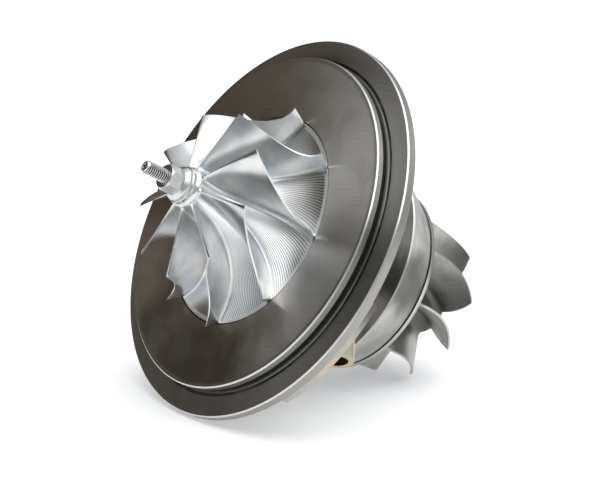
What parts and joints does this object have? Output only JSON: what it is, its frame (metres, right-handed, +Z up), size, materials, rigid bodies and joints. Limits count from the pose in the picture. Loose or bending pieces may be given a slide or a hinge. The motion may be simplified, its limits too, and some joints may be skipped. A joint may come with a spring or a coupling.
{
  "type": "turbocharger cartridge",
  "caption": "Turbocharger cartridge: full-bladed compressor wheel and curled turbine wheel on one shaft, carried by a cast housing with a large piloted flange and side ports.",
  "frame": {"origin": "on the shaft's axis, in the plane of the compressor flange's seating face", "axes": "+Y along the shaft from compressor to turbine, +Z up through the oil inlet, +X to the side of the port that the picture shows"},
  "size_m": [0.187, 0.1876, 0.187],
  "materials": {
    "turned_iron": "turned, dark satin",
    "zinc_steel": "zinc plated",
    "rubber": "smooth",
    "spring_steel": "satin",
    "bronze": "machined",
    "steel": "ground",
    "ring_iron": "ground",
    "milled_aluminium": "milled, bright",
    "nut_steel": "bright",
    "cast_alloy": "as cast, matte"
  },
  "bodies": {
    "housing": {"bearing_housing": "turned_iron", "core_plugs": "zinc_steel", "flange_o_ring": "rubber", "seal_plate": "turned_iron", "seal_plate_o_ring": "rubber", "seal_plate_retaining_ring": "spring_steel", "oil_deflector": "spring_steel", "thrust_bearing": "bronze", "thrust_dowels": "steel", "compressor_piston_ring": "ring_iron", "turbine_piston_rings": "ring_iron", "bearing_retaining_rings": "spring_steel", "heat_shield": "spring_steel"},
    "rotor": {"shaft": "steel", "thrust_collar": "steel", "thrust_spacer": "steel", "flinger_sleeve": "steel", "compressor_wheel": "milled_aluminium", "compressor_nut": "nut_steel", "turbine_wheel": "cast_alloy"},
    "front_bush": {"compressor_journal_bearing": "bronze"},
    "rear_bush": {"turbine_journal_bearing": "bronze"}
  },
  "joints": [
    {"name": "rotor_spin", "type": "hinge", "parent": "housing", "child": "rotor", "pos_m": [0, 0.028, 0], "axis": [0, 1, 0], "continuous": true},
    {"name": "front_bush_spin", "type": "hinge", "parent": "housing", "child": "front_bush", "pos_m": [0, 0.0271, 0], "axis": [0, 1, 0], "continuous": true},
    {"name": "rear_bush_spin", "type": "hinge", "parent": "housing", "child": "rear_bush", "pos_m": [0, 0.0507, 0], "axis": [0, 1, 0], "continuous": true}
  ]
}
